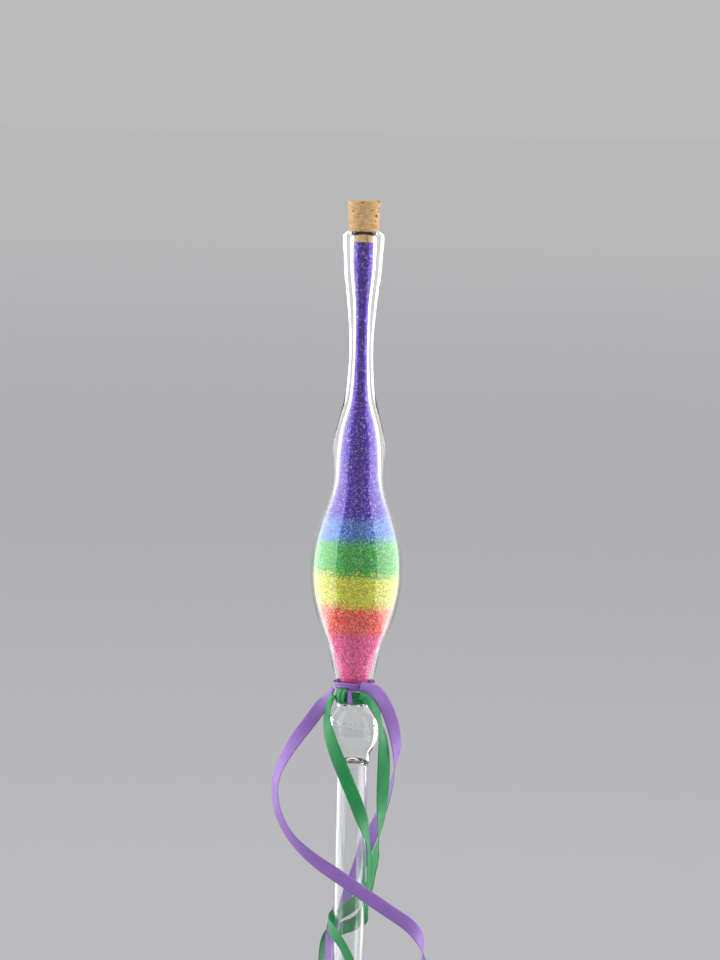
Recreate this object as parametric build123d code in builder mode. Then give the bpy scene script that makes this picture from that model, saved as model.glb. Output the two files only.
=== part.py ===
"""Hand-blown glass wand with a corked vial of layered glitter and satin ribbons tied at its waist.

Units are millimetres and +Z is up, along the wand. The origin is on the wand's axis, in the middle of
the plain grip length at the bottom of the handle. Heights of the glass outlines are counted from the
waist, the narrow groove that the ribbons are tied in. -Y is the front.
"""
from build123d import *
import math
import os

os.makedirs("parts", exist_ok=True)

# ---------------------------------------------------------------- driving dimensions
TUBE_RADIUS = 7.0          # standard 14 mm borosilicate tube
TUBE_SWELL = 0.05          # the drawn tube is this much fatter where it meets the knob
TUBE_WALL = 1.1
WAIST_HEIGHT = 182.0       # waist above the middle of the grip
HANDLE_BOTTOM = -35.0
GRIP_TOP = 27.0            # the straight, bare length that a holder takes
RIM = 203.2                # rim of the vial above the waist
LIP_RADIUS = 9.1
LIP_ROUNDING = 2.3
MOUTH_RADIUS = 6.55
NECK_BORE_RADIUS = 4.65
FUNNEL_DEPTH = 2.4
SEAM_HEIGHT = -15.9        # seam across the knob, below the waist
SEAM_TILT = 8.4            # degrees, down towards +X
GLITTER_GAP = 0.1          # air between the glitter and the glass
CORK_GAP = 0.05            # running clearance of the stopper in its seat
CORK_TOP = 216.5
CORK_BOTTOM = 198.5
CORK_TOP_RADIUS = 7.2
RIBBON_GAP = 0.4           # clearance of the tied ribbons round the waist
RIBBON_LAYER = 0.5         # thickness of the gathered ribbon
STRAND_RADIUS = 0.75       # a plain strand with the section area of a 6 x 0.3 mm ribbon
FILLET_SHARE = 0.45        # share of the shorter run that each bend of a tail takes up

# Outlines as (radius, height above the waist), from the top down.
BODY_OUTLINE = [
    (9.05, 198.5), (8.5, 191.0), (8.1, 184.0), (7.1, 176.5), (6.15, 167.5), (5.4, 158.5),
    (5.2, 149.5), (5.75, 139.5), (7.0, 129.5), (9.3, 120.5), (11.1, 112.0), (11.5, 104.5),
    (11.2, 96.8), (12.0, 89.2), (14.8, 80.8), (17.6, 72.0), (19.4, 63.0), (20.0, 53.5),
    (18.8, 41.5), (15.1, 28.4), (10.6, 15.5), (8.3, 6.0), (6.6, 1.4), (6.25, -2.0),
]
BORE_OUTLINE = [
    (4.65, 197.0), (4.45, 186.0), (3.65, 178.0), (2.95, 169.0), (2.85, 158.0), (2.85, 150.0),
    (3.1, 141.0), (3.7, 132.0), (4.9, 125.0), (6.7, 119.0), (8.2, 110.5), (8.9, 102.0),
    (9.2, 95.5), (10.6, 88.8), (13.4, 80.9), (16.6, 72.0), (18.6, 63.0), (19.2, 53.5),
    (17.8, 41.5), (13.7, 28.4), (9.2, 15.5), (6.7, 7.0), (5.6, 4.4), (4.1, 2.4), (2.2, 1.3), (0.0, 1.0),
]
KNOB_OUTLINE = [
    (6.25, -2.0), (6.42, -3.6), (7.1, -5.4), (9.3, -8.3), (10.6, -11.4), (11.0, -15.3),
    (10.6, -20.6), (9.3, -24.0), (8.0, -27.0), (7.3, -30.0), (7.08, -32.5),
    (TUBE_RADIUS + TUBE_SWELL, -35.0),
]

# Glitter layers from the top down, each with the height of its lower face above the waist.
GLITTER_LAYERS = [
    ("glitter_purple", 78.0),
    ("glitter_blue", 68.5),
    ("glitter_green", 53.6),
    ("glitter_yellow", 39.3),
    ("glitter_orange", 27.2),
    ("glitter_pink", 0.0),
]
GLITTER_TOP = 198.3

# Routes of the ribbon tails, from the knot down to the loose end, in the part's own frame.
PURPLE_TAIL_LEFT = [
    (-9.0, -2.5, 184.2), (-11.4, -2.8, 179.8), (-14.9, -3.2, 175.5), (-18.4, -3.8, 170.1),
    (-24.8, -4.6, 161.8), (-29.9, -5.6, 153.5), (-33.2, -6.6, 146.1), (-34.0, -7.6, 138.2),
    (-32.6, -8.6, 130.2), (-29.2, -9.6, 122.8), (-24.0, -10.8, 115.9), (-14.8, -12.6, 108.5),
    (-7.4, -13.4, 103.9), (0.4, -13.6, 98.7), (8.5, -13.0, 93.1), (19.4, -10.5, 85.6),
    (26.6, -8.5, 80.7), (31.2, -7.2, 75.3), (33.2, -6.2, 68.5), (33.9, -5.5, 61.0),
    (33.0, -5.0, 52.9), (31.2, -5.0, 44.4), (30.4, -5.4, 36.0),
]
PURPLE_TAIL_RIGHT = [
    (2.7, -9.5, 186.2), (8.0, -8.8, 185.3), (12.0, -7.0, 181.4), (16.2, -4.7, 173.0),
    (19.0, -2.6, 163.2), (19.7, -0.5, 154.6), (18.7, 1.8, 146.8), (17.2, 4.2, 139.4),
    (14.4, 6.4, 130.4), (10.8, 8.4, 121.1), (7.4, 9.9, 112.6), (4.3, 11.4, 102.8),
    (0.8, 12.6, 93.9), (-3.4, 12.6, 85.6), (-7.2, 10.0, 78.5), (-8.7, 7.0, 70.9),
    (-9.0, 5.4, 62.0), (-8.3, 5.0, 53.2), (-7.2, 5.4, 42.0),
]
GREEN_TAIL_LEFT = [
    (-8.8, -6.2, 181.9), (-11.2, -5.6, 177.5), (-11.9, -5.4, 171.1), (-10.4, -8.4, 163.8),
    (-6.8, -11.1, 154.9), (-3.6, -11.8, 147.7), (0.8, -12.0, 137.8), (4.0, -11.4, 130.0),
    (6.2, -10.2, 123.5), (7.8, -8.0, 116.7), (8.5, -5.6, 110.1), (8.7, -3.2, 102.8),
    (8.6, -1.0, 95.1), (8.5, 2.0, 87.2), (7.0, 6.6, 80.6), (2.6, 10.6, 76.7),
    (-3.6, 12.6, 74.9), (-9.2, 12.2, 71.9), (-11.6, 10.6, 65.5), (-12.0, 9.4, 56.7),
    (-11.3, 9.0, 47.7),
]
GREEN_TAIL_RIGHT = [
    (2.6, -9.6, 182.2), (6.0, -9.2, 181.4), (8.7, -8.4, 178.5), (10.6, -7.5, 174.3),
    (11.9, -6.5, 169.2), (13.4, -5.0, 161.8), (13.9, -3.7, 153.3), (13.9, -2.8, 143.7),
    (13.6, -2.2, 133.7), (13.2, -1.6, 124.1), (12.4, -0.6, 116.1), (11.1, 1.0, 108.9),
    (10.3, 2.8, 101.8), (8.9, 5.4, 94.5), (5.5, 8.3, 88.7), (0.0, 9.5, 84.6),
    (-5.6, 7.9, 81.7), (-9.0, 3.0, 80.1), (-9.0, -2.8, 78.4), (-6.2, -7.6, 75.7),
    (-2.6, -9.8, 71.3), (0.7, -10.4, 64.9), (3.0, -10.3, 56.9), (4.3, -9.8, 47.9),
    (4.9, -9.6, 38.5),
]


def above_waist(points, gap=0.0):
    """Outline points in the part's frame, taken in and up by a gap, but never past the axis."""
    return [(max(r - gap, 0.0), h + gap + WAIST_HEIGHT) for r, h in points]


def bend_radii(points):
    """The radius of each bend of a tail, so that the arc takes its share of the shorter run."""
    radii = []
    for before, corner, after in zip(points, points[1:], points[2:]):
        run_in = Vector(*corner) - Vector(*before)
        run_out = Vector(*after) - Vector(*corner)
        half_turn = math.radians(run_in.get_angle(run_out)) / 2
        radii.append(FILLET_SHARE * min(run_in.length, run_out.length) / math.tan(half_turn))
    return radii


seam_plane = Plane(
    origin=(0, 0, WAIST_HEIGHT + SEAM_HEIGHT),
    z_dir=(math.sin(math.radians(SEAM_TILT)), 0, math.cos(math.radians(SEAM_TILT))),
)
DOWN = (0, -1)
INWARD = (-1, 0)

# ---------------------------------------------------------------- glass: corked vial, down to the seam
rim_height = WAIST_HEIGHT + RIM
body_points = above_waist(BODY_OUTLINE)
knob_points = above_waist(KNOB_OUTLINE)
bore_points = above_waist(BORE_OUTLINE)
mouth = (MOUTH_RADIUS, rim_height)
funnel_foot = (NECK_BORE_RADIUS, rim_height - FUNNEL_DEPTH)

with BuildPart() as vial:
    with BuildSketch(Plane.XZ) as vial_section:
        with BuildLine():
            Spline(*body_points, tangents=(DOWN, DOWN))
            Spline(*knob_points)
            Polyline(knob_points[-1], (0, knob_points[-1][1]), bore_points[-1])
            Spline(*bore_points, tangents=(DOWN, INWARD))
            Polyline(bore_points[0], funnel_foot, mouth, (LIP_RADIUS - LIP_ROUNDING, rim_height))
            CenterArc(
                (LIP_RADIUS - LIP_ROUNDING, rim_height - LIP_ROUNDING), LIP_ROUNDING, 0, 90
            )
            Line((LIP_RADIUS, rim_height - LIP_ROUNDING), body_points[0])
        make_face()
    revolve(axis=Axis.Z)
    split(bisect_by=seam_plane, keep=Keep.TOP)
vial.part.label = "vial"

# ---------------------------------------------------------------- glass: hollow handle and lower half of the knob
BORE_RADIUS = TUBE_RADIUS - TUBE_WALL
BORE_TOP = WAIST_HEIGHT - 27.5
grip_bottom = HANDLE_BOTTOM + TUBE_RADIUS
tube_top = knob_points[-1]
bore_bottom = HANDLE_BOTTOM + TUBE_WALL + BORE_RADIUS

with BuildPart() as handle:
    with BuildSketch(Plane.XZ) as handle_section:
        with BuildLine():
            CenterArc((0, grip_bottom), TUBE_RADIUS, -90, 90)
            Polyline((TUBE_RADIUS, grip_bottom), (TUBE_RADIUS, GRIP_TOP), tube_top)
            Spline(*knob_points)
            Polyline(knob_points[0], (0, knob_points[0][1]), (0, HANDLE_BOTTOM))
        make_face()
        with BuildLine():
            CenterArc((0, bore_bottom), BORE_RADIUS, -90, 90)
            Line((BORE_RADIUS, bore_bottom), (BORE_RADIUS, BORE_TOP - BORE_RADIUS))
            CenterArc((0, BORE_TOP - BORE_RADIUS), BORE_RADIUS, 0, 90)
            Line((0, BORE_TOP), (0, bore_bottom - BORE_RADIUS))
        make_face(mode=Mode.SUBTRACT)
    revolve(axis=Axis.Z)
    split(bisect_by=seam_plane, keep=Keep.BOTTOM)
handle.part.label = "handle"

# ---------------------------------------------------------------- tapered cork, squeezed by the mouth
cork_top = WAIST_HEIGHT + CORK_TOP
cork_bottom = WAIST_HEIGHT + CORK_BOTTOM
CORK_EDGE = 0.4
FOOT_TAPER = 0.15

with BuildPart() as cork:
    with BuildSketch(Plane.XZ) as cork_section:
        with BuildLine():
            Polyline(
                (0, cork_bottom),
                (NECK_BORE_RADIUS - CORK_GAP - FOOT_TAPER, cork_bottom),
                (NECK_BORE_RADIUS - CORK_GAP, funnel_foot[1] + CORK_GAP),
                (MOUTH_RADIUS - CORK_GAP, rim_height + CORK_GAP),
                (CORK_TOP_RADIUS, cork_top - CORK_EDGE),
                (CORK_TOP_RADIUS - CORK_EDGE, cork_top),
                (0, cork_top),
                close=True,
            )
        make_face()
    revolve(axis=Axis.Z)
cork.part.label = "cork"

# ---------------------------------------------------------------- glitter, six layers filling the bore
fill_points = above_waist(BORE_OUTLINE, GLITTER_GAP)
fill_top = WAIST_HEIGHT + GLITTER_TOP
fill_corner = (fill_points[0][0], fill_top)
glitter_parts = []
layer_top = fill_top
for layer_name, layer_low in GLITTER_LAYERS:
    with BuildPart() as layer:
        with BuildSketch(Plane.XZ):
            with BuildLine():
                Spline(*fill_points, tangents=(DOWN, INWARD))
                Polyline(fill_points[-1], (0, fill_top), fill_corner, fill_points[0])
            make_face()
        revolve(axis=Axis.Z)
        if layer_top < fill_top:
            split(bisect_by=Plane.XY.offset(layer_top), keep=Keep.BOTTOM)
        layer_top = WAIST_HEIGHT + layer_low
        if layer_low > 0:
            split(bisect_by=Plane.XY.offset(layer_top), keep=Keep.TOP)
    layer.part.label = layer_name
    glitter_parts.append(layer.part)

# ---------------------------------------------------------------- ribbons tied in the waist
PURPLE_BAND = [(8.4, 5.2), (7.4, 2.6), (7.0, 1.3)]
GREEN_BAND = [(6.9, 1.1), (6.65, -1.5), (6.9, -3.6), (7.6, -4.6)]


def band_face(inner_edge):
    """The section of a gathered ribbon band from its inner edge, which clears the glass."""
    inner = above_waist(inner_edge)
    outer = [(r + RIBBON_LAYER, z) for r, z in inner[::-1]]
    return inner + outer


with BuildPart() as purple_wrap:
    with BuildSketch(Plane.XZ):
        with BuildLine():
            Polyline(*band_face(PURPLE_BAND), close=True)
        make_face()
    revolve(axis=Axis.Z)
purple_wrap.part.label = "purple_wrap"

with BuildPart() as green_wrap:
    with BuildSketch(Plane.XZ):
        with BuildLine():
            Polyline(*band_face(GREEN_BAND), close=True)
        make_face()
    revolve(axis=Axis.Z)
green_wrap.part.label = "green_wrap"

# The knots are short turns of ribbon over the two bands, at the front and at the front left.
FRONT = -90.0
PURPLE_KNOT = {"angle": FRONT - 12.0, "arc": 14.0, "inner": 8.3, "outer": 9.3, "low": -4.2, "high": 1.9}
GREEN_KNOT = {"angle": FRONT - 36.0, "arc": 30.0, "inner": 8.6, "outer": 10.6, "low": -3.4, "high": 2.6}
KNOT_ROUNDING = 0.4


def knot_plane(knot):
    """A vertical plane through the wand's axis, at the angle where a knot starts."""
    start = math.radians(knot["angle"] - knot["arc"] / 2)
    out = (math.cos(start), math.sin(start), 0)
    return Plane(origin=(0, 0, WAIST_HEIGHT), x_dir=out, z_dir=(out[1], -out[0], 0))


knots = {}
for knot_name, knot in (("purple_knot", PURPLE_KNOT), ("green_knot", GREEN_KNOT)):
    with BuildPart() as turn:
        with BuildSketch(knot_plane(knot)):
            with Locations(((knot["inner"] + knot["outer"]) / 2, (knot["low"] + knot["high"]) / 2)):
                Rectangle(knot["outer"] - knot["inner"], knot["high"] - knot["low"])
        revolve(axis=Axis.Z, revolution_arc=knot["arc"])
        fillet(turn.edges(), KNOT_ROUNDING)
    turn.part.label = knot_name
    knots[knot_name] = turn.part

# ---------------------------------------------------------------- ribbon tails
TAILS = {
    "purple_tail_left": PURPLE_TAIL_LEFT,
    "purple_tail_right": PURPLE_TAIL_RIGHT,
    "green_tail_left": GREEN_TAIL_LEFT,
    "green_tail_right": GREEN_TAIL_RIGHT,
}
tails = {}
for tail_name, route in TAILS.items():
    radii = bend_radii(route)
    with BuildPart() as tail:
        with BuildLine() as path:
            FilletPolyline(*route, radius=radii)
        centreline = path.wire()
        with BuildSketch(Plane(origin=centreline @ 0, z_dir=centreline % 0)):
            Circle(STRAND_RADIUS)
        sweep(path=centreline)
    tail.part.label = tail_name
    tails[tail_name] = tail.part
    expected = math.pi * STRAND_RADIUS**2 * centreline.length
    print(f"{tail_name}: length {centreline.length:.1f} mm, tightest bend {min(radii):.1f} mm,"
          f" volume {tail.part.volume:.2f} of {expected:.2f} mm3")

# ---------------------------------------------------------------- export
pieces = [vial.part, handle.part, cork.part, *glitter_parts, purple_wrap.part, green_wrap.part]
pieces += [*knots.values(), *tails.values()]
for piece in pieces:
    export_step(piece, f"parts/{piece.label}.step")
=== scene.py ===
"""Looks of the glass ribbon wand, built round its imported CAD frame.

Everything is in metres in the CAD frame: +Z runs up the wand and -Y is the front. Lists and sizes that
are easier to read in millimetres are multiplied by MM where they are used.
"""
import math
import random

import bmesh
import bpy
import numpy as np
from mathutils import Matrix, Vector, noise


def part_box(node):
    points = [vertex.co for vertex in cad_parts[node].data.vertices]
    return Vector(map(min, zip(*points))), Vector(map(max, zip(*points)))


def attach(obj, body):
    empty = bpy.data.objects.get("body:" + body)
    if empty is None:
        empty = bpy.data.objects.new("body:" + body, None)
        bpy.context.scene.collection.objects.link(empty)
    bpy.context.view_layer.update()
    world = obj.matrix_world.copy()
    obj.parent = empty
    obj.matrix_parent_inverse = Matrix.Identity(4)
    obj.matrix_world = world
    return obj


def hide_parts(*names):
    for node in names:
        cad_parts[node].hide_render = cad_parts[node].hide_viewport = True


MM = 0.001
TINY = 1e-7                     # metres: anything nearer than this counts as touching
SEGMENTS = 224                  # round every lathe

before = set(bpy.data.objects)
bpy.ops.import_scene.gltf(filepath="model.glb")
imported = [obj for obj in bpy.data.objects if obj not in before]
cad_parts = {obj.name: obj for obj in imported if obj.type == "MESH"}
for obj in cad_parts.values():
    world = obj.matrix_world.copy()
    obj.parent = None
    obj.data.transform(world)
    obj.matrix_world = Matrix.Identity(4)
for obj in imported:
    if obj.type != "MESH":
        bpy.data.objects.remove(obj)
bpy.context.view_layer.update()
boxes = {name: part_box(name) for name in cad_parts}
collection = bpy.context.scene.collection

# ---------------------------------------------------------------- meshes


def add_mesh(name, verts, faces):
    """A linked, smooth-shaded mesh object."""
    mesh = bpy.data.meshes.new(name)
    mesh.from_pydata([tuple(v) for v in verts], [], [tuple(f) for f in faces])
    mesh.polygons.foreach_set("use_smooth", [True] * len(mesh.polygons))
    obj = bpy.data.objects.new(name, mesh)
    collection.objects.link(obj)
    return obj


def face_outwards(bm):
    """Turns every face of closed shells outwards."""
    bmesh.ops.recalc_face_normals(bm, faces=bm.faces)


def turn_outwards(obj):
    """Turns every face of a closed mesh object outwards."""
    bm = bmesh.new()
    bm.from_mesh(obj.data)
    face_outwards(bm)
    bm.to_mesh(obj.data)
    bm.free()


def stand_for(obj, body, slot, finish, *nodes):
    """Makes a piece ride on a body, wear the finish given as its material and stand for CAD nodes. The slot
    is not used.
    """
    obj.data.materials.append(finish)
    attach(obj, body)
    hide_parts(*nodes)


def ring(columns, start):
    """The numbers of the vertices in one row of a closed grid, with the first one again at the end."""
    return [start + j % columns for j in range(columns + 1)]


def quads(rows, columns, closed=False):
    """The faces of a grid whose columns go round. A closed grid's last row meets its first one."""
    faces = []
    for i in range(rows if closed else rows - 1):
        a, b = ring(columns, i * columns), ring(columns, (i + 1) % rows * columns)
        faces += [(a[j], a[j + 1], b[j + 1], b[j]) for j in range(columns)]
    return faces


def close_row(verts, faces, row, height):
    """Closes a lathe's row with a fan of triangles to a point on the axis."""
    verts.append((0.0, 0.0, height))
    a = ring(SEGMENTS, row * SEGMENTS)
    faces.extend((a[j], a[j + 1], len(verts) - 1) for j in range(SEGMENTS))


def lathe_shape(profile):
    """Vertices and faces of a profile of (radius, height) turned round Z, closed where it meets the axis."""
    rows = [q for q in profile if q[0] >= TINY]
    verts = []
    for r, z in rows:
        for j in range(SEGMENTS):
            angle = math.tau * j / SEGMENTS
            verts.append((r * math.cos(angle), r * math.sin(angle), z))
    faces = quads(len(rows), SEGMENTS)
    for end, row in ((0, 0), (-1, len(rows) - 1)):
        if profile[end][0] < TINY:
            close_row(verts, faces, row, profile[end][1])
    return verts, faces


# ---------------------------------------------------------------- outlines read from the CAD nodes


def walk(vert, links):
    """The chain of linked vertices that starts at a vertex. Takes them out of the links."""
    chain = [vert]
    while True:
        ahead = [v for v in links.pop(chain[-1]) if v in links]
        if not ahead:
            return chain
        chain.append(ahead[0])


def outlines(name):
    """A CAD node's outlines in its +X half plane, as chains of (radius, height), longest first."""
    bm = bmesh.new()
    bm.from_mesh(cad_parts[name].data)
    bmesh.ops.remove_doubles(bm, verts=bm.verts, dist=10 * TINY)
    flat = {v for v in bm.verts if abs(v.co.y) < TINY and v.co.x > -TINY}
    links = {v: [e.other_vert(v) for e in v.link_edges if e.other_vert(v) in flat] for v in flat}
    chains = []
    while links:
        loose = [v for v in links if sum(w in links for w in links[v]) <= 1]
        start = min(loose or links, key=lambda v: (v.co.z, v.co.x))
        chains.append([(max(v.co.x, 0.0), v.co.z) for v in walk(start, links)])
    bm.free()
    return sorted(chains, key=len, reverse=True)


def distances(points):
    """How far along the chain of points each of them lies."""
    return np.concatenate([[0.0], np.cumsum(np.linalg.norm(np.diff(points, axis=0), axis=1))])


def smooth_stretch(points, spacing):
    """A smooth curve through the points, cut into even steps. A straight needs only a quarter as many."""
    p = np.array(points, float)
    if len(p) == 2:
        count = max(int(math.dist(*p) / (4 * spacing)), 1)
        return [tuple(q) for q in np.linspace(p[0], p[1], count + 1)]
    t = distances(p)
    slope = np.gradient(p, t, axis=0)
    out = []
    for s in np.linspace(0.0, t[-1], max(int(t[-1] / spacing), 1) + 1):
        i = min(int(np.searchsorted(t, s, side="right")) - 1, len(t) - 2)
        h = t[i + 1] - t[i]
        u = (s - t[i]) / h
        start = (1 + 2 * u) * (1 - u) ** 2 * p[i] + u * (1 - u) ** 2 * h * slope[i]
        stop = u * u * (3 - 2 * u) * p[i + 1] + u * u * (u - 1) * h * slope[i + 1]
        out.append(tuple(start + stop))
    return out


def smooth_outline(points, spacing=0.4 * MM, corner=0.5, straight=12 * MM):
    """A smooth curve through an outline's points that keeps sharp corners and long straight steps.

    A corner turns by more than the angle given, and a step longer than the length given is straight.
    """
    p = np.array(points, float)
    steps = np.diff(p, axis=0)
    headings = np.arctan2(steps[:, 1], steps[:, 0])
    turns = np.abs((np.diff(headings) + math.pi) % math.tau - math.pi)
    runs = np.linalg.norm(steps, axis=1) > straight
    sharp = (turns > corner) | runs[:-1] | runs[1:]
    breaks = [0, *[i + 1 for i in np.flatnonzero(sharp)], len(p) - 1]
    out = [tuple(p[0])]
    for a, b in zip(breaks, breaks[1:]):
        out += smooth_stretch(p[a:b + 1], spacing)[1:]
    return out


def rounded(outline, passes=3):
    """An outline with its corners eased, as fire polishing leaves them. The ends stay where they are."""
    p = np.array(outline, float)
    for _ in range(passes):
        p[1:-1] = (p[:-2] + 2 * p[1:-1] + p[2:]) / 4
    return [tuple(q) for q in p]


def grid_mesh(name, grid, lengths, widths, closed=False):
    """A closed tube of quads from rows of points, with a UV map in millimetres.

    grid is (rows, columns, 3) and the columns go round. lengths has each row's distance along the
    piece and widths each column's distance round it. A closed piece's last row meets its first one.
    """
    rows, columns = grid.shape[:2]
    faces = quads(rows, columns, closed)
    corners = []
    for k in range(len(faces)):
        i, j = divmod(k, columns)
        corners += [(i, j), (i, j + 1), (i + 1, j + 1), (i + 1, j)]
    if not closed:
        for row in (0, rows - 1):
            faces.append(tuple(range(row * columns, (row + 1) * columns)))
            corners += [(row, j) for j in range(columns)]
    obj = add_mesh(name, grid.reshape(-1, 3), faces)
    uv = obj.data.uv_layers.new(name="UVMap").data
    for k, (i, j) in enumerate(corners):
        uv[k].uv = (lengths[i] / MM, widths[j] / MM)
    turn_outwards(obj)
    return obj


# ---------------------------------------------------------------- material helpers


def material(name):
    """A new node material. Gives back the material, its tree and its Principled shader."""
    mat = bpy.data.materials.new(name)
    mat.use_nodes = True
    tree = mat.node_tree
    return mat, tree, tree.nodes["Principled BSDF"]


def node(tree, kind, inputs=None, **settings):
    """A node with its settings, and with its inputs set or linked by name or number."""
    made = tree.nodes.new(kind)
    for key, value in settings.items():
        setattr(made, key, value)
    for key, value in (inputs or {}).items():
        if isinstance(value, bpy.types.NodeSocket):
            tree.links.new(value, made.inputs[key])
        else:
            made.inputs[key].default_value = value
    return made


def maths(tree, operation, a, b=0.0, c=0.0, clamp=False):
    """The output of a Math node."""
    made = node(tree, "ShaderNodeMath", {0: a, 1: b, 2: c}, operation=operation, use_clamp=clamp)
    return made.outputs[0]


def blended(tree, factor, a, b, mode="MIX"):
    """The colour output of a colour Mix node."""
    made = node(tree, "ShaderNodeMix", data_type="RGBA", blend_type=mode, clamp_factor=True)
    for key, value in ((0, factor), (6, a), (7, b)):
        if isinstance(value, bpy.types.NodeSocket):
            tree.links.new(value, made.inputs[key])
        else:
            made.inputs[key].default_value = value
    return made.outputs[2]


def object_place(tree):
    """The object's own coordinates, which are the CAD frame's, in metres."""
    return node(tree, "ShaderNodeTexCoord").outputs["Object"]


def stretched(tree, vector, scale):
    """A vector with each axis multiplied by its own scale."""
    return node(tree, "ShaderNodeVectorMath", {0: vector, 1: scale}, operation="MULTIPLY").outputs[0]


def colour(r, g, b):
    """An opaque linear colour."""
    return (r, g, b, 1.0)


# ---------------------------------------------------------------- glass
GLASS_IOR = 1.47                # borosilicate


def make_glass():
    """Clear glass that lets the lamps' light through to what is inside it."""
    mat, tree, glass = material("clear_glass")
    glass.inputs["Base Color"].default_value = colour(0.985, 0.995, 0.99)
    glass.inputs["Roughness"].default_value = 0.0
    glass.inputs["IOR"].default_value = GLASS_IOR
    glass.inputs["Transmission Weight"].default_value = 1.0
    place = object_place(tree)
    swell = node(tree, "ShaderNodeTexNoise", {"Vector": stretched(tree, place, (1, 1, 0.25)), "Scale": 260.0})
    bump = node(tree, "ShaderNodeBump", {"Height": swell.outputs[0], "Strength": 0.03, "Distance": 0.0002})
    tree.links.new(bump.outputs[0], glass.inputs["Normal"])
    clear = node(tree, "ShaderNodeBsdfTransparent")
    shadow = node(tree, "ShaderNodeLightPath").outputs["Is Shadow Ray"]
    mix = node(tree, "ShaderNodeMixShader", {0: shadow, 1: glass.outputs[0], 2: clear.outputs[0]})
    tree.links.new(mix.outputs[0], tree.nodes["Material Output"].inputs[0])
    return mat


def make_weld():
    """The fused face between the two glass pieces, where light passes as if nothing were there."""
    mat, tree, _ = material("fused_glass")
    clear = node(tree, "ShaderNodeBsdfTransparent")
    tree.links.new(clear.outputs[0], tree.nodes["Material Output"].inputs[0])
    return mat


clear_glass = make_glass()
fused_glass = make_weld()

vial_outline = outlines("vial")[0]
handle_outline, handle_bore = outlines("handle")
glass_outline = handle_outline[:-1] + vial_outline          # from the handle's end to the bore's tip

# The seam's plane meets the knob's side at the start of the vial's outline, and tilts down towards +X.
SEAM_TILT = math.radians(8.4)
SEAM_REACH = 4 * MM             # how far each piece is made past the seam before it is cut there
seam_radius, seam_height = vial_outline[0]
seam_normal = Vector((math.sin(SEAM_TILT), 0.0, math.cos(SEAM_TILT)))
seam_across = Vector((math.cos(SEAM_TILT), 0.0, -math.sin(SEAM_TILT)))
seam_centre = Vector((0.0, 0.0, seam_height + seam_radius * math.tan(SEAM_TILT)))


def cut_at_seam(obj, keep_above):
    """Cuts a closed glass piece at the seam and closes it there with a face in the second material."""
    bm = bmesh.new()
    bm.from_mesh(obj.data)
    face_outwards(bm)
    cut = bmesh.ops.bisect_plane(
        bm, geom=[*bm.verts, *bm.edges, *bm.faces], dist=TINY,
        plane_co=seam_centre, plane_no=seam_normal, clear_inner=keep_above, clear_outer=not keep_above)
    edges = [e for e in cut["geom_cut"] if isinstance(e, bmesh.types.BMEdge)]
    for edge in edges:
        edge.smooth = False
    for face in bmesh.ops.contextual_create(bm, geom=edges)["faces"]:
        face.material_index = 1
        face.smooth = False
    face_outwards(bm)
    return bm


def add_void(bm, verts, faces):
    """Adds a closed hollow to a glass piece, its faces turned towards the hollow."""
    hollow = bmesh.new()
    made = [hollow.verts.new(v) for v in verts]
    for f in faces:
        hollow.faces.new([made[k] for k in f]).smooth = True
    face_outwards(hollow)
    bmesh.ops.reverse_faces(hollow, faces=hollow.faces)
    scratch = bpy.data.meshes.new("hollow")
    hollow.to_mesh(scratch)
    hollow.free()
    bm.from_mesh(scratch)
    bpy.data.meshes.remove(scratch)


def bubble(centre, size):
    """Vertices and faces of a small bubble, its three half widths given, in the seam's tilted frame."""
    ball = bmesh.new()
    bmesh.ops.create_icosphere(ball, subdivisions=2, radius=1.0)
    axes = Matrix((seam_across, Vector((0, 1, 0)), seam_normal)).transposed()
    verts = [centre + axes @ Vector([a * b for a, b in zip(v.co, size)]) for v in ball.verts]
    faces = [[v.index for v in f.verts] for f in ball.faces]
    ball.free()
    return verts, faces


def on_seam(radius, angle, height):
    """A point at a height above the seam's plane."""
    flat = seam_across * (radius * math.cos(angle)) + Vector((0, radius * math.sin(angle), 0))
    return seam_centre + flat + seam_normal * height


def groove(radius, height, thickness):
    """Vertices and faces of a thin hollow ring that runs round above the seam."""
    turns, sides = 120, 8
    verts = []
    for i in range(turns):
        angle = math.tau * i / turns
        for j in range(sides):
            side = math.tau * j / sides
            out, up = thickness * math.cos(side), thickness * math.sin(side)
            verts.append(on_seam(radius + out, angle, height + up))
    return verts, quads(turns, sides, closed=True)


def add_seam_marks(bm):
    """A fine groove and bubbles along the fused seam, most near its rim, and one bigger bubble above."""
    draw = random.Random(11)
    outermost, inwards = 10.1, 3.4              # the bubbles' radii, and how far in from there they reach
    add_void(bm, *groove(radius=10.35 * MM, height=0.16 * MM, thickness=0.07 * MM))
    for _ in range(90):
        radius = (outermost - inwards * draw.random() ** 2.2) * MM
        height = draw.uniform(0.25, 0.9) * MM
        wide = draw.uniform(0.14, 0.42) * MM
        centre = on_seam(radius, draw.uniform(0, math.tau), height)
        add_void(bm, *bubble(centre, (wide, wide, wide * draw.uniform(0.3, 0.7))))
    glint = seam_centre + Vector((1.0, -3.5, 6.8)) * MM
    add_void(bm, *bubble(glint, (0.22 * MM, 0.22 * MM, 0.6 * MM)))


def glass_piece(name, bm, body, *nodes):
    """The finished glass object of a bmesh."""
    obj = add_mesh(name, [], [])
    bm.to_mesh(obj.data)
    bm.free()
    stand_for(obj, body, "glass", clear_glass, *nodes)
    obj.data.materials.append(fused_glass)
    return obj


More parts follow.
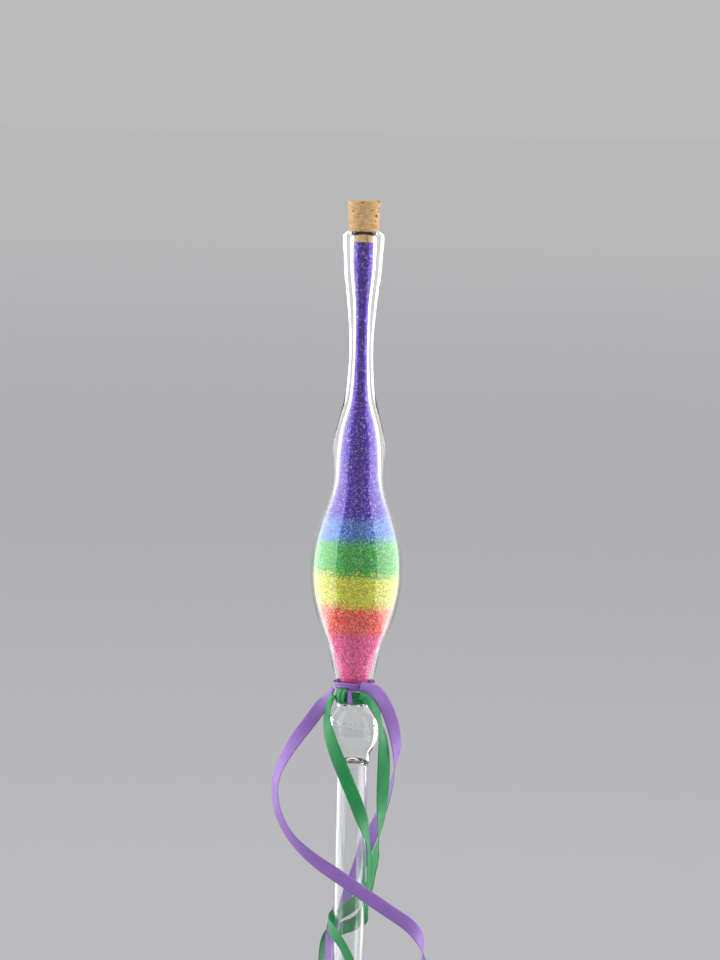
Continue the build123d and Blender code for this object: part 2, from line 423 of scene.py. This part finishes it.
def make_vial():
    """The blown vial, down to the seam across the knob under it."""
    start = next(k for k, (_, z) in enumerate(glass_outline) if z > seam_height - SEAM_REACH)
    outline = rounded(smooth_outline(glass_outline[start:]))
    obj = add_mesh("vial_blank", *lathe_shape([(0.0, outline[0][1]), *outline]))
    bm = cut_at_seam(obj, keep_above=True)
    bpy.data.objects.remove(obj)
    add_seam_marks(bm)
    return glass_piece("blown_vial", bm, "wand", "vial")


def make_handle():
    """The hollow handle, up to the seam."""
    top = seam_centre.z + SEAM_REACH
    beyond = 12                                 # points of the vial's outline that carry on the handle's
    outline = [q for q in smooth_outline(glass_outline[:len(handle_outline) + beyond]) if q[1] < top]
    obj = add_mesh("handle_blank", *lathe_shape([*outline, (0.0, outline[-1][1])]))
    bm = cut_at_seam(obj, keep_above=False)
    bpy.data.objects.remove(obj)
    add_void(bm, *lathe_shape(smooth_outline(handle_bore)))
    return glass_piece("glass_handle", bm, "wand", "handle")


# ---------------------------------------------------------------- glitter
FLAKE = 0.38 * MM
FILL_GAP = 0.1 * MM             # between the glass and the glitter
rim_index = max(range(len(vial_outline)), key=lambda k: vial_outline[k][1])
bore = [q for q in smooth_outline(vial_outline[rim_index:]) if q[1] < boxes["glitter_purple"][1].z]
fill_heights = np.array([z + FILL_GAP for _, z in bore[::-1]])
fill_radii = np.array([max(r - FILL_GAP, 0.0) for r, _ in bore[::-1]])

# Each layer's flake colour, share of metal shine, and the slope of its lower face along X.
LAYERS = {
    "glitter_purple": {"hue": (0.062, 0.012, 0.31), "metal": 0.85, "slope": 0.0},
    "glitter_blue": {"hue": (0.06, 0.16, 0.48), "metal": 0.7, "slope": 0.02},
    "glitter_green": {"hue": (0.012, 0.34, 0.018), "metal": 0.4, "slope": -0.06},
    "glitter_yellow": {"hue": (0.60, 0.60, 0.004), "metal": 0.2, "slope": -0.03},
    "glitter_orange": {"hue": (0.85, 0.07, 0.03), "metal": 0.2, "slope": 0.02},
    "glitter_pink": {"hue": (0.80, 0.075, 0.27), "metal": 0.2, "slope": 0.0},
}
MIXED = 2.6 * MM                # how far single flakes stray over a layer's border
UNEVEN = 0.7 * MM               # how far a border rises and falls
WAVES = 90                      # the borders' waves per metre, roughly


def make_glitter(name, hue, metal, above, below, top, bottom):
    """Packed flakes, each with its own tint, tilt and shine, that mix with the next layers' at the borders.

    above and below are the next layers' colours, top and bottom each border's (height, slope along X).
    """
    mat, tree, shader = material(name + "_flakes")
    cells = node(tree, "ShaderNodeTexVoronoi", {"Vector": object_place(tree), "Scale": 1 / FLAKE})
    dice = node(tree, "ShaderNodeSeparateColor", {0: cells.outputs["Color"]}).outputs
    flake_x, _, height = node(tree, "ShaderNodeSeparateXYZ", {0: cells.outputs["Position"]}).outputs
    ceiling, ground = (maths(tree, "MULTIPLY_ADD", flake_x, slope, level) for level, slope in (top, bottom))
    stray = maths(tree, "MULTIPLY", maths(tree, "POWER", dice[0], 3.0), MIXED)
    up = maths(tree, "GREATER_THAN", maths(tree, "ADD", height, stray), ceiling)
    down = maths(tree, "LESS_THAN", maths(tree, "SUBTRACT", height, stray), ground)
    tint = blended(tree, up, colour(*hue), colour(*above))
    tint = blended(tree, down, tint, colour(*below))
    value = maths(tree, "MULTIPLY_ADD", dice[1], 1.3, 0.3)
    hsv = node(tree, "ShaderNodeHueSaturation", {"Value": value, "Color": tint})
    shift = maths(tree, "MULTIPLY_ADD", dice[2], 0.05, 0.475)
    tree.links.new(shift, hsv.inputs["Hue"])
    # painted highlight: about one flake in ten gets a pale glint colour mixed into its own colour
    painted_glint_mask = maths(tree, "GREATER_THAN", dice[2], 0.9)
    glint = blended(tree, maths(tree, "MULTIPLY", painted_glint_mask, 0.3), hsv.outputs[0], colour(0.9, 0.85, 0.95))
    tree.links.new(glint, shader.inputs["Base Color"])
    shader.inputs["Metallic"].default_value = metal
    shader.inputs["Roughness"].default_value = 0.33
    tilt = node(tree, "ShaderNodeVectorMath", {
        0: cells.outputs["Color"], 1: (0.5, 0.5, 0.5)}, operation="SUBTRACT")
    lean = stretched(tree, tilt.outputs[0], (0.45, 0.45, 0.45))
    normal = node(tree, "ShaderNodeNewGeometry").outputs["Normal"]
    total = node(tree, "ShaderNodeVectorMath", {0: lean, 1: normal}, operation="ADD").outputs[0]
    unit = node(tree, "ShaderNodeVectorMath", {0: total}, operation="NORMALIZE").outputs[0]
    tree.links.new(unit, shader.inputs["Normal"])
    return mat


def border(height, slope, seed):
    """A border between layers as a function of the angle and radius: tilted along X and a little wavy."""
    def surface(angle, radius):
        x, y = radius * math.cos(angle), radius * math.sin(angle)
        wave = noise.noise(Vector((x * WAVES, y * WAVES, seed)))
        return height + slope * x + wave * UNEVEN
    return surface


def glitter_piece(name, low, high):
    """The shell of one layer between its lower and upper borders."""
    bottom, top = boxes[name][0].z, boxes[name][1].z
    bottom_radius, top_radius = np.interp([bottom, top], fill_heights, fill_radii)
    tip = fill_heights[0] + 0.02 * MM           # just above the point where the bore closes
    angles = [math.tau * j / SEGMENTS for j in range(SEGMENTS)]
    starts = np.array([low(a, bottom_radius) if low else tip for a in angles])
    stops = np.array([high(a, top_radius) if high else top for a in angles])
    steps = max(int((top - bottom) / (0.5 * MM)), 12)           # closer together at both borders
    verts = []
    for i in range(steps + 1):
        share = (1 - math.cos(math.pi * i / steps)) / 2
        heights = starts + (stops - starts) * share
        radii = np.interp(heights, fill_heights, fill_radii)
        verts += zip(radii * np.cos(angles), radii * np.sin(angles), heights)
    faces = quads(steps + 1, SEGMENTS)
    for row in (0, steps):
        heights = [v[2] for v in verts[row * SEGMENTS:(row + 1) * SEGMENTS]]
        close_row(verts, faces, row, sum(heights) / SEGMENTS)
    obj = add_mesh(name + "_fill", verts, faces)
    turn_outwards(obj)
    return obj


def make_layers():
    """The six glitter layers, from the top down."""
    names = list(LAYERS)
    high = None
    for k, name in enumerate(names):
        facts = LAYERS[name]
        bottom, top = boxes[name][0].z, boxes[name][1].z
        above = LAYERS[names[max(k - 1, 0)]]["hue"]
        below = LAYERS[names[min(k + 1, len(names) - 1)]]["hue"]
        seed = k * 7.3
        low = border(bottom, facts["slope"], seed) if k + 1 < len(names) else None
        tilt_above = LAYERS[names[k - 1]]["slope"] if k else 0.0
        flakes = make_glitter(name, facts["hue"], facts["metal"], above, below,
                              (top, tilt_above), (bottom, facts["slope"]))
        stand_for(glitter_piece(name, low, high), "wand", name, flakes, name)
        high = low


make_vial()
make_handle()
make_layers()

# ---------------------------------------------------------------- cork
# The cork is shaped in millimetres. Each main pit: degrees round from +X, distance below the top, and size.
MAIN_PITS = ((-38, 6.6, 0.75), (-41, 8.9, 0.6), (-60, 4.2, 0.4),
             (-118, 10.5, 0.45), (-20, 3.4, 0.6), (-84, 8.0, 0.3))
PIT_DEPTH = 0.32
SMOOTH, ROUGH = 0.05, 0.07      # how uneven the side is inside the mouth, and how much more above it
CHIP_ANGLE = math.radians(-25)
CHIP_RADIUS, CHIP_ABOVE, CHIP_SIZE = 7.3, 0.35, 1.5     # of the ball that the chip is cut with
cork_low, cork_high = boxes["cork"][0].z / MM, boxes["cork"][1].z / MM
cork_side = boxes["cork"][1].x / MM
mouth = boxes["vial"][1].z / MM


def make_cork_material():
    """Pale cork bark with soft sideways grain, dark specks and dark pits."""
    mat, tree, shader = material("cork_bark")
    place = object_place(tree)
    grain = node(tree, "ShaderNodeTexNoise", {
        "Vector": stretched(tree, place, (1, 1, 2.6)), "Scale": 320.0, "Detail": 6.0, "Roughness": 0.65})
    fine = node(tree, "ShaderNodeTexNoise", {"Vector": place, "Scale": 1900.0, "Detail": 4.0})
    ramp = node(tree, "ShaderNodeValToRGB", {0: grain.outputs[0]})
    stops = ramp.color_ramp.elements
    stops[0].position, stops[0].color = 0.3, colour(0.30, 0.155, 0.055)
    stops[1].position, stops[1].color = 0.62, colour(0.58, 0.38, 0.19)
    stops.new(0.47).color = colour(0.50, 0.29, 0.12)
    speckled = blended(tree, maths(tree, "MULTIPLY_ADD", fine.outputs[0], 2.4, -0.95, clamp=True),
                       ramp.outputs[0], colour(0.72, 0.50, 0.27))
    specks = node(tree, "ShaderNodeTexVoronoi", {
        "Vector": stretched(tree, place, (1, 1, 1.6)), "Scale": 700.0})
    near = maths(tree, "LESS_THAN", specks.outputs["Distance"], 0.26)
    chosen = node(tree, "ShaderNodeSeparateColor", {0: specks.outputs["Color"]}).outputs[0]
    speck = maths(tree, "MULTIPLY", near, maths(tree, "GREATER_THAN", chosen, 0.72))
    marked = blended(tree, maths(tree, "MULTIPLY", speck, 0.65), speckled, colour(0.16, 0.07, 0.025))
    pits = node(tree, "ShaderNodeAttribute", attribute_name="pit").outputs["Fac"]
    tree.links.new(blended(tree, pits, marked, colour(0.085, 0.035, 0.014)), shader.inputs["Base Color"])
    shader.inputs["Roughness"].default_value = 0.82
    shader.inputs["Specular IOR Level"].default_value = 0.25
    bump = node(tree, "ShaderNodeBump", {"Height": fine.outputs[0], "Strength": 0.5, "Distance": 0.00015})
    tree.links.new(bump.outputs[0], shader.inputs["Normal"])
    return mat


def round_cork(angle, radius, height):
    """A point in the cork, in millimetres."""
    return Vector((radius * math.cos(angle), radius * math.sin(angle), height))


def cork_pits():
    """The (centre, size) of each pit in the cork's side and top."""
    draw = random.Random(5)
    pits = [(round_cork(math.radians(a), cork_side, cork_high - depth), size) for a, depth, size in MAIN_PITS]
    for _ in range(55):
        centre = round_cork(draw.uniform(0, math.tau), cork_side, draw.uniform(cork_low, cork_high))
        pits.append((centre, draw.uniform(0.15, 0.5)))
    for _ in range(24):
        centre = round_cork(draw.uniform(0, math.tau), cork_side * math.sqrt(draw.random()), cork_high)
        pits.append((centre, draw.uniform(0.15, 0.55)))
    return pits


def shape_cork(co, pits):
    """The moved point of the cork's surface and how deep in a pit it lies, 0 to 1."""
    p = Vector(co) / MM
    inward = Vector((-p.x, -p.y, 0.0))
    inward.normalize()
    free = min(max((p.z - mouth - 0.3) / 0.8, 0.0), 1.0)        # 0 inside the mouth, 1 well above it
    rough = SMOOTH + ROUGH * free
    broad, fine = noise.noise(p * 1.1), noise.noise(p * 4.0)
    p += inward * (rough * (0.5 + 0.5 * broad) + 0.03 * fine)
    deepest = 0.0
    for centre, size in pits:
        gap = centre - p
        if abs(gap.z) > size * 1.6:             # out of this pit's reach
            continue
        away = math.hypot(math.hypot(gap.x, gap.y) * 0.75, gap.z * 1.1) / size      # pits lie sideways
        if away < 1.0:
            deepest = max(deepest, (1 - away * away) ** 0.7)
    down = Vector((0, 0, -1)) if p.z > cork_high - 0.25 else inward
    p += down * deepest * PIT_DEPTH
    return p * MM, min(deepest * 1.5, 1.0)


def make_cork():
    """The tapered cork with rough sides, pits, and a chip out of its top edge at the right."""
    outline = rounded(smooth_outline(outlines("cork")[0], 0.14 * MM))
    (foot_radius, foot), (top_radius, top) = outline[0], outline[-1]
    foot_rows, top_rows = 20, 48                # the ends need rows of their own for the pits
    across_foot = [(foot_radius * k / foot_rows, foot) for k in range(foot_rows)]
    across_top = [(top_radius * (1 - k / top_rows), top) for k in range(1, top_rows + 1)]
    verts, faces = lathe_shape([*across_foot, *outline, *across_top])
    pits = cork_pits()
    chip = round_cork(CHIP_ANGLE, CHIP_RADIUS, top / MM + CHIP_ABOVE)
    chip_way = Vector((-chip.x, -chip.y, -4.0)).normalized()
    moved, depths = [], []
    for co in verts:
        place, depth = shape_cork(co, pits)
        gap = (place / MM - chip).length
        if gap < CHIP_SIZE:
            place += chip_way * (CHIP_SIZE - gap) * 0.75 * MM
            depth = max(depth, 0.35)            # a little darker, like a shallow pit
        moved.append(place)
        depths.append(depth)
    obj = add_mesh("cork_stopper", moved, faces)
    turn_outwards(obj)
    pit = obj.data.attributes.new("pit", "FLOAT", "POINT")
    pit.data.foreach_set("value", depths)
    stand_for(obj, "stopper", "cork", make_cork_material(), "cork")


# ---------------------------------------------------------------- satin ribbon
RIBBON_WIDTH = 6 * MM
RIBBON_THICKNESS = 0.28 * MM
UP = np.array([0.0, 0.0, 1.0])


def make_satin(name, deep, painted_sheen_colour):
    """Satin ribbon: lengthwise floats with painted sheen in lighter streaks of colour, a woven edge and a
    soft sheen.
    """
    mat, tree, shader = material(name)
    uv = node(tree, "ShaderNodeUVMap", uv_map="UVMap").outputs[0]
    float_relief_and_painted_sheen = node(tree, "ShaderNodeTexNoise", {
        "Vector": stretched(tree, uv, (0.12, 5.0, 1.0)), "Scale": 1.0, "Detail": 3.0})
    shade = node(tree, "ShaderNodeTexNoise", {
        "Vector": stretched(tree, uv, (0.22, 0.35, 1.0)), "Scale": 1.0, "Detail": 2.0})
    # painted sheen: lengthwise streaks lighten the colour; the same streaks also raise the floats' relief in
    # the bump below
    factor = maths(tree, "MULTIPLY_ADD", float_relief_and_painted_sheen.outputs[0], 1.3, -0.2, clamp=True)
    painted_sheen_tint = blended(tree, factor, colour(*deep), colour(*painted_sheen_colour))
    toned = blended(tree, maths(tree, "MULTIPLY", shade.outputs[0], 0.25), painted_sheen_tint, colour(*deep))
    tree.links.new(toned, shader.inputs["Base Color"])
    ribs = node(tree, "ShaderNodeTexWave", {
        "Vector": stretched(tree, uv, (0.0, 1.0, 0.0)), "Scale": 2.2, "Distortion": 0.0},
        wave_type="BANDS", bands_direction="Y")
    weft = node(tree, "ShaderNodeTexWave", {
        "Vector": stretched(tree, uv, (1.0, 0.25, 0.0)), "Scale": 1.6, "Distortion": 1.2},
        wave_type="BANDS", bands_direction="X")
    height = maths(tree, "MULTIPLY_ADD", weft.outputs[1], 0.35, ribs.outputs[1])
    height = maths(tree, "MULTIPLY_ADD", float_relief_and_painted_sheen.outputs[0], 0.9, height)
    bump = node(tree, "ShaderNodeBump", {"Height": height, "Strength": 0.35, "Distance": 0.00006})
    tree.links.new(bump.outputs[0], shader.inputs["Normal"])
    tangent = node(tree, "ShaderNodeTangent", direction_type="UV_MAP", uv_map="UVMap").outputs[0]
    tree.links.new(tangent, shader.inputs["Tangent"])
    shader.inputs["Roughness"].default_value = 0.36
    shader.inputs["Anisotropic"].default_value = 0.6
    shader.inputs["Specular IOR Level"].default_value = 0.5
    shader.inputs["Sheen Weight"].default_value = 0.12
    shader.inputs["Sheen Roughness"].default_value = 0.4
    return mat


# Each ribbon's own colour, then the lighter colour of its painted sheen.
SATINS = {
    "purple": make_satin("purple_satin_weave", (0.20, 0.085, 0.40), (0.47, 0.26, 0.74)),
    "green": make_satin("green_satin_weave", (0.004, 0.15, 0.04), (0.022, 0.47, 0.13)),
}


def ribbon_section(half, thickness, crown, pleats=0.0, folds=0):
    """A ribbon's closed section as (across, out) pairs: a crowned or pleated strip with thicker edges."""
    count = 8 + 8 * folds if folds else 12
    upper, lower = [], []
    for k in range(count + 1):
        a = -1 + 2 * k / count
        middle = crown * (1 - a * a) + pleats * math.cos(math.pi * a * folds) * (1 - a ** 4)
        if abs(a) > 0.99:
            edge = 0.7                          # the very edge is thin
        elif abs(a) > 0.86:
            edge = 1.35                         # the woven edge beside it is thick
        else:
            edge = 1.0
        upper.append((a * half, middle + thickness * edge / 2))
        lower.append((a * half, middle - thickness * edge / 2))
    return upper + lower[::-1]


def sweep_ribbon(name, centres, normals, acrosses, sections, closed=False):
    """A ribbon along a centreline, with each row's normal, direction across, and section."""
    grid = np.array([
        [c + w * a + n * b for a, b in section]
        for c, n, w, section in zip(centres, normals, acrosses, sections)])
    lengths = list(distances(centres))
    if closed:
        lengths.append(lengths[-1] + float(np.linalg.norm(centres[0] - centres[-1])))
    widths = [a for a, _ in sections[len(sections) // 2]]
    widths.append(widths[0])
    return grid_mesh(name, grid, lengths, widths, closed)


# Routes of the tails in millimetres, as in the CAD source, with the way that the ribbon's face points
# at each: degrees round from the front, 90 to the right and -90 to the left.
TAILS = {
    "purple_tail_left": {"satin": "purple", "route": [
        (-9.0, -2.5, 184.2), (-11.4, -2.8, 179.8), (-14.9, -3.2, 175.5), (-18.4, -3.8, 170.1),
        (-24.8, -4.6, 161.8), (-29.9, -5.6, 153.5), (-33.2, -6.6, 146.1), (-34.0, -7.6, 138.2),
        (-32.6, -8.6, 130.2), (-29.2, -9.6, 122.8), (-24.0, -10.8, 115.9), (-14.8, -12.6, 108.5),
        (-7.4, -13.4, 103.9), (0.4, -13.6, 98.7), (8.5, -13.0, 93.1), (19.4, -10.5, 85.6),
        (26.6, -8.5, 80.7), (31.2, -7.2, 75.3), (33.2, -6.2, 68.5), (33.9, -5.5, 61.0),
        (33.0, -5.0, 52.9), (31.2, -5.0, 44.4), (30.4, -5.4, 36.0),
    ], "facing": [-70, -50, -20, 0, -29, -49, -57, -62, -60, -60, -58, -38, 0, 0, 0, 0,
                  8, 48, 88, 128, 150, 165, 175]},
    "purple_tail_right": {"satin": "purple", "route": [
        (2.7, -9.5, 186.2), (8.0, -8.8, 185.3), (12.0, -7.0, 181.4), (16.2, -4.7, 173.0),
        (19.0, -2.6, 163.2), (19.7, -0.5, 154.6), (18.7, 1.8, 146.8), (17.2, 4.2, 139.4),
        (14.4, 6.4, 130.4), (10.8, 8.4, 121.1), (7.4, 9.9, 112.6), (4.3, 11.4, 102.8),
        (0.8, 12.6, 93.9), (-3.4, 12.6, 85.6), (-7.2, 10.0, 78.5), (-8.7, 7.0, 70.9),
        (-9.0, 5.4, 62.0), (-8.3, 5.0, 53.2), (-7.2, 5.4, 42.0),
    ], "facing": [16, 26, 24, 10, 32, 60, 90, 104, 122, 145, 165, 180, 188, 200, 222, 236,
                  244, 240, 235]},
    "green_tail_left": {"satin": "green", "route": [
        (-8.8, -6.2, 181.9), (-11.2, -5.6, 177.5), (-11.9, -5.4, 171.1), (-10.4, -8.4, 163.8),
        (-6.8, -11.1, 154.9), (-3.6, -11.8, 147.7), (0.8, -12.0, 137.8), (4.0, -11.4, 130.0),
        (6.2, -10.2, 123.5), (7.8, -8.0, 116.7), (8.5, -5.6, 110.1), (8.7, -3.2, 102.8),
        (8.6, -1.0, 95.1), (8.5, 2.0, 87.2), (7.0, 6.6, 80.6), (2.6, 10.6, 76.7),
        (-3.6, 12.6, 74.9), (-9.2, 12.2, 71.9), (-11.6, 10.6, 65.5), (-12.0, 9.4, 56.7),
        (-11.3, 9.0, 47.7),
    ], "facing": [-55, -60, -64, -37, -12, 0, 0, 12, 55, 84, 70, 66, 68, 84, 130, 170,
                  195, 220, 240, 250, 255]},
    "green_tail_right": {"satin": "green", "route": [
        (2.6, -9.6, 182.2), (6.0, -9.2, 181.4), (8.7, -8.4, 178.5), (10.6, -7.5, 174.3),
        (11.9, -6.5, 169.2), (13.4, -5.0, 161.8), (13.9, -3.7, 153.3), (13.9, -2.8, 143.7),
        (13.6, -2.2, 133.7), (13.2, -1.6, 124.1), (12.4, -0.6, 116.1), (11.1, 1.0, 108.9),
        (10.3, 2.8, 101.8), (8.9, 5.4, 94.5), (5.5, 8.3, 88.7), (0.0, 9.5, 84.6),
        (-5.6, 7.9, 81.7), (-9.0, 3.0, 80.1), (-9.0, -2.8, 78.4), (-6.2, -7.6, 75.7),
        (-2.6, -9.8, 71.3), (0.7, -10.4, 64.9), (3.0, -10.3, 56.9), (4.3, -9.8, 47.9),
        (4.9, -9.6, 38.5),
    ], "facing": [16, 30, 42, 60, 84, 48, 28, 18, 32, 62, 90, 126, 108, 120, 150, 180,
                  215, 250, 288, 300, 304, 312, 326, 340, 350]},
}
GATHERED = 0.62                 # share of its width that a ribbon has where it goes into the knot
SPREAD = 9 * MM                 # distance over which it opens to its full width


def spline_points(points, smoothness=10):
    """Points along the NURBS spline that has the given control points."""
    curve = bpy.data.curves.new("route", "CURVE")
    curve.dimensions = "3D"
    spline = curve.splines.new("NURBS")
    spline.points.add(len(points) - 1)
    for point, co in zip(spline.points, points):
        point.co = (*co, 1.0)
    spline.order_u = 3
    spline.use_endpoint_u = True
    spline.resolution_u = smoothness
    obj = bpy.data.objects.new("route", curve)
    collection.objects.link(obj)
    bpy.context.view_layer.update()
    mesh = bpy.data.meshes.new_from_object(obj)
    found = np.array([v.co for v in mesh.vertices], float)
    bpy.data.objects.remove(obj)
    return found


def make_tail(name, facts):
    """One ribbon tail: a satin strip that turns its face as it falls, gathered where it leaves the knot."""
    route = [Vector(p) * MM for p in facts["route"]]
    centres = spline_points(route)
    facing = np.radians(spline_points([(a, 0, 0) for a in facts["facing"]])[:, 0])
    tangents = np.gradient(centres, axis=0)
    tangents /= np.linalg.norm(tangents, axis=1)[:, None]
    normals = np.stack([np.sin(facing), -np.cos(facing), np.zeros(len(facing))], axis=1)
    normals -= tangents * np.sum(normals * tangents, axis=1)[:, None]
    normals /= np.linalg.norm(normals, axis=1)[:, None]
    acrosses = np.cross(tangents, normals)
    along = distances(centres)
    sections = []
    for distance in along:
        opened = min(distance / SPREAD, 1.0)
        opened = opened * opened * (3 - 2 * opened)
        half = RIBBON_WIDTH / 2 * (GATHERED + (1 - GATHERED) * opened)
        crown = (0.12 + 0.7 * (1 - opened)) * MM                # cupped where it is gathered
        sections.append(ribbon_section(half, RIBBON_THICKNESS, crown))
    obj = sweep_ribbon(name + "_ribbon", centres, normals, acrosses, sections)
    satin = facts["satin"]
    stand_for(obj, "ribbons", satin + "_satin", SATINS[satin], name)


def make_wrap(name, satin, folds, wobble, seed):
    """Ribbon gathered into a pleated band round the waist."""
    low, high = boxes[name]
    chain = sorted(set(outlines(name)[0]), key=lambda q: q[1])
    heights = np.array([z for _, z in chain])
    radii = np.array([r for r, _ in chain])
    middle = (low.z + high.z) / 2
    margin = 0.6 * MM                           # the CAD band's rounded edges, left out of its slant
    inner_low, inner_high = np.interp([low.z + margin, high.z - margin], heights, radii)
    slant = math.atan2(inner_high - inner_low, high.z - low.z - 2 * margin)
    radius = (inner_low + inner_high) / 2 + 0.35 * MM           # of the pleats' middle
    half = (high.z - low.z) / 2 / math.cos(slant)
    thickness, crown, pleats = 0.3 * MM, 0.12 * MM, 0.16 * MM
    turns = 180
    centres, normals, acrosses, sections = [], [], [], []
    for k in range(turns):
        angle = math.tau * k / turns
        out = np.array([math.cos(angle), math.sin(angle), 0.0])
        wave = noise.noise(Vector((math.cos(angle) * 1.6, math.sin(angle) * 1.6, seed)))
        centres.append(out * (radius + 0.1 * MM * wave) + UP * (middle + wobble * wave))
        acrosses.append(UP * math.cos(slant) + out * math.sin(slant))
        normals.append(out * math.cos(slant) - UP * math.sin(slant))
        sections.append(ribbon_section(half * (0.9 + 0.1 * wave), thickness, crown, pleats, folds))
    obj = sweep_ribbon(name + "_band", *map(np.array, (centres, normals, acrosses)), sections, closed=True)
    stand_for(obj, "ribbons", satin + "_satin", SATINS[satin], name)


def make_knot(name, satin, angle, width, out_radius, folds, lean):
    """A pleated turn of ribbon over the bands: an arch from above them, out, and in again below."""
    low, high = boxes[name]
    middle, half = (low.z + high.z) / 2, (high.z - low.z) / 2
    turn = math.radians(angle)
    out = np.array([math.cos(turn), math.sin(turn), 0.0])
    side = np.array([-math.sin(turn), math.cos(turn), 0.0])
    inner = 7.9 * MM                            # the radius at which the arch starts and ends
    thickness, crown, pleats = 0.42 * MM, 0.55 * MM, 0.2 * MM
    steps = 40
    centres, normals, acrosses, sections = [], [], [], []
    for k in range(steps + 1):
        v = math.pi * (k / steps - 0.5) * 1.06  # a little more than half a turn
        bulge = abs(math.cos(v)) ** 0.8
        r = inner + (out_radius - inner) * bulge
        z = middle - half * math.sin(v)
        centres.append(out * r + side * lean * math.sin(v) + UP * z)
        normal = out * math.cos(v) - UP * math.sin(v) * 0.8
        normals.append(normal / np.linalg.norm(normal))
        acrosses.append(side)
        swell = GATHERED + (1 - GATHERED) * bulge
        sections.append(ribbon_section(width / 2 * swell, thickness, crown * bulge, pleats, folds))
    obj = sweep_ribbon(name + "_turn", *map(np.array, (centres, normals, acrosses)), sections)
    stand_for(obj, "ribbons", satin + "_satin", SATINS[satin], name)


make_cork()
for name, facts in TAILS.items():
    make_tail(name, facts)
make_wrap("purple_wrap", "purple", folds=3, wobble=0.3 * MM, seed=2.0)
make_wrap("green_wrap", "green", folds=4, wobble=0.3 * MM, seed=8.0)
make_knot("purple_knot", "purple", angle=-102, width=2.2 * MM, out_radius=9.0 * MM, folds=1, lean=0.4 * MM)
make_knot("green_knot", "green", angle=-126, width=5.0 * MM, out_radius=10.2 * MM, folds=2, lean=-0.6 * MM)

# ---------------------------------------------------------------- stage, lights and camera
PALE = 0.5                      # radiance of the backdrop, and of the floor far away


def make_stage():
    """A wide pale floor that fades into the backdrop."""
    floor_height = boxes["handle"][0].z - 0.2 * MM
    turns = 96
    rings = [0.15, 0.4, 1.0, 2.5, 6.0, 15.0, 40.0]              # radii in metres
    verts = [(0.0, 0.0, floor_height)]
    for r in rings:
        for j in range(turns):
            a = math.tau * j / turns
            verts.append((r * math.cos(a), r * math.sin(a), floor_height))
    faces = [(0, 1 + j, 1 + (j + 1) % turns) for j in range(turns)]
    for i in range(len(rings) - 1):
        a, b = ring(turns, 1 + i * turns), ring(turns, 1 + (i + 1) * turns)
        faces += [(a[j], b[j], b[j + 1], a[j + 1]) for j in range(turns)]
    floor = add_mesh("studio_floor", verts, faces)
    mat, tree, shader = material("matt_floor")
    place = object_place(tree)
    away = node(tree, "ShaderNodeVectorMath", {0: place}, operation="LENGTH").outputs["Value"]
    far = node(tree, "ShaderNodeMapRange", {"Value": away, "From Min": 1.5, "From Max": 12.0}).outputs[0]
    paint = blended(tree, far, colour(0.8, 0.8, 0.81), colour(0.97, 0.97, 0.97))
    tree.links.new(paint, shader.inputs["Base Color"])
    shader.inputs["Roughness"].default_value = 0.9
    shader.inputs["Specular IOR Level"].default_value = 0.1
    floor.data.materials.append(mat)
    return floor


def make_world():
    """An even pale surround."""
    world = bpy.data.worlds.new("pale_surround")
    bpy.context.scene.world = world
    world.use_nodes = True
    sky = world.node_tree.nodes["Background"]
    sky.inputs[0].default_value = colour(PALE, PALE, PALE * 1.02)
    sky.inputs[1].default_value = 1.0


def softbox(name, place, aim, width, height, radiance, shuns=None):
    """A rectangular soft light. What it shuns isn't lit by it."""
    lamp = bpy.data.lights.new(name, "AREA")
    lamp.shape = "RECTANGLE"
    lamp.size, lamp.size_y = width, height
    lamp.energy = radiance * math.pi * width * height
    obj = bpy.data.objects.new(name, lamp)
    collection.objects.link(obj)
    obj.location = place
    obj.rotation_euler = (Vector(aim) - Vector(place)).to_track_quat("-Z", "Y").to_euler()
    obj.visible_camera = False
    if shuns:
        group = bpy.data.collections.new(name + "_shuns")
        group.objects.link(shuns)
        obj.light_linking.receiver_collection = group
        group.collection_objects[0].light_linking.link_state = "EXCLUDE"


def make_lights(floor):
    """A tall softbox at each side, which gives the glass its white edges, and a soft light overhead."""
    side = 0.4                                  # metres to each side, and the softboxes' edges:
    front, back = -0.3, 0.42
    bottom, top = -0.03, 0.95
    y, z = (front + back) / 2, (bottom + top) / 2
    for sign, label in ((-1, "left"), (1, "right")):
        softbox("softbox_" + label, (sign * side, y, z), (0.0, y, z),
                width=back - front, height=top - bottom, radiance=2.0, shuns=floor)
    softbox("overhead", (0.0, 0.3, 2.2), (0.0, 0.0, 0.0), width=1.6, height=1.6, radiance=0.9)


def make_camera():
    """A long lens, five degrees above level and rolled a little."""
    lens, distance = 171.0, 2.0
    rise, roll = math.radians(5.0), math.radians(1.25)
    target = Vector((0.7, 0.0, 276.0)) * MM
    data = bpy.data.cameras.new("camera")
    data.lens = lens
    data.sensor_width = 36.0
    data.clip_start, data.clip_end = 0.05, 100.0
    obj = bpy.data.objects.new("camera", data)
    collection.objects.link(obj)
    back = Vector((0.0, -math.cos(rise), math.sin(rise)))
    look = (-back).to_track_quat("-Z", "Y").to_matrix() @ Matrix.Rotation(roll, 3, "Z")
    obj.matrix_world = Matrix.Translation(target + back * distance) @ look.to_4x4()
    bpy.context.scene.camera = obj


make_lights(make_stage())
make_world()
make_camera()
bpy.context.scene.view_settings.view_transform = "Standard"
